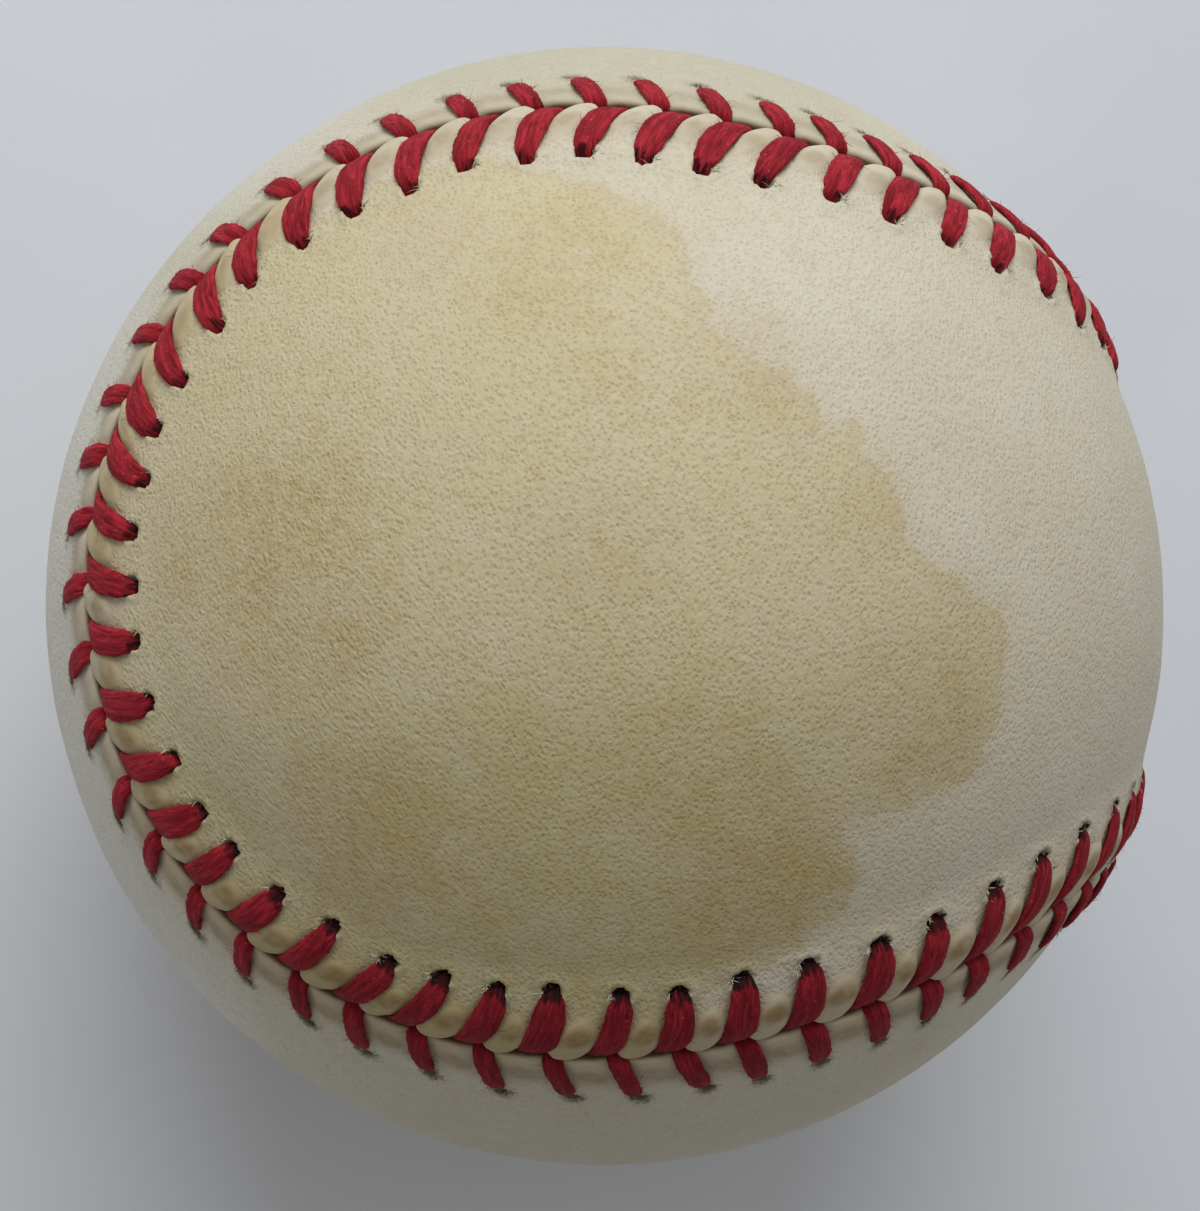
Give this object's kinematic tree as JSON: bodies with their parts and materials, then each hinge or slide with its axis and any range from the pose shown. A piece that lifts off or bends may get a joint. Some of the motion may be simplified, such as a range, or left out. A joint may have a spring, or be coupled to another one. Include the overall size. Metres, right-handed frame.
{
  "type": "baseball",
  "caption": "Hand ball with a cushioned cork pill, wound yarn layers and two interlocking figure-eight leather panels, joined by a raised double-stitched seam.",
  "frame": {"origin": "centre of the ball", "axes": "X through the waists of both panels, with panel a's waist on +X and panel b's on -X; Z through the middles of panel a's two lobes; Y through the middles of panel b's two lobes"},
  "size_m": [0.0742, 0.0742, 0.0742],
  "materials": {
    "composition_cork": "ground cork bound with rubber, matt brown",
    "black_rubber": "moulded black rubber, matt",
    "red_rubber": "moulded red rubber, matt",
    "grey_wool": "tightly wound grey wool yarn",
    "white_wool": "tightly wound white wool yarn",
    "finish_cotton": "fine cotton yarn under a coat of rubber cement",
    "cover_leather": "aged cream alum-tanned cowhide with fine pores and soft tan staining",
    "waxed_thread": "flattened multi-strand waxed crimson thread"
  },
  "bodies": {
    "root": {"cork_core": "composition_cork", "black_rubber_shell_upper": "black_rubber", "black_rubber_shell_lower": "black_rubber", "red_rubber_gasket": "red_rubber", "red_rubber_cover": "red_rubber", "grey_wool_winding_inner": "grey_wool", "white_wool_winding": "white_wool", "grey_wool_winding_outer": "grey_wool", "cotton_finish_winding": "finish_cotton", "cover_panel_a": "cover_leather", "cover_panel_b": "cover_leather", "thread_first_end": "waxed_thread", "thread_second_end": "waxed_thread"}
  },
  "joints": []
}
